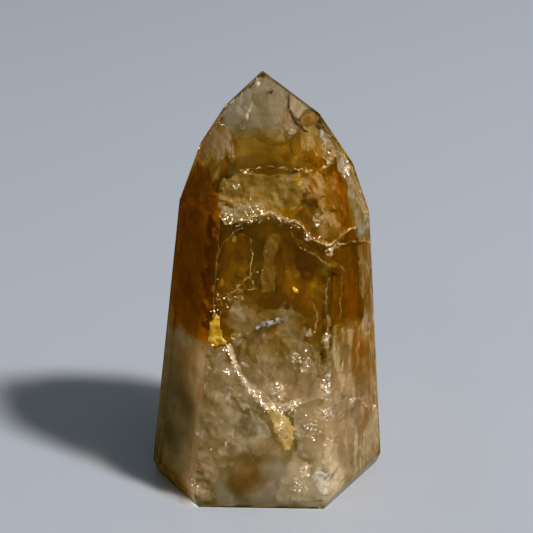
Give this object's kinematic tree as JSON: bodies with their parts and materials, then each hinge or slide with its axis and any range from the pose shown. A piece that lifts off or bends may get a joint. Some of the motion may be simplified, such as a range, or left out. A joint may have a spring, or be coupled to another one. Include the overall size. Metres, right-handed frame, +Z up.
{
  "type": "golden healer quartz",
  "caption": "Polished six-sided golden healer quartz tower with a faceted tip, standing upright on its flat cut foot.",
  "frame": {"origin": "middle of the flat foot, on the surface that the tower stands on", "axes": "+Z up from the foot to the tip; -Y is the front side; +X is to the right when the front is looked at"},
  "size_m": [0.0577, 0.045, 0.105],
  "materials": {
    "quartz": "polished, clear to milky, golden-brown iron stain and healed cracks inside"
  },
  "bodies": {
    "root": {"quartz_point": "quartz"}
  },
  "joints": []
}
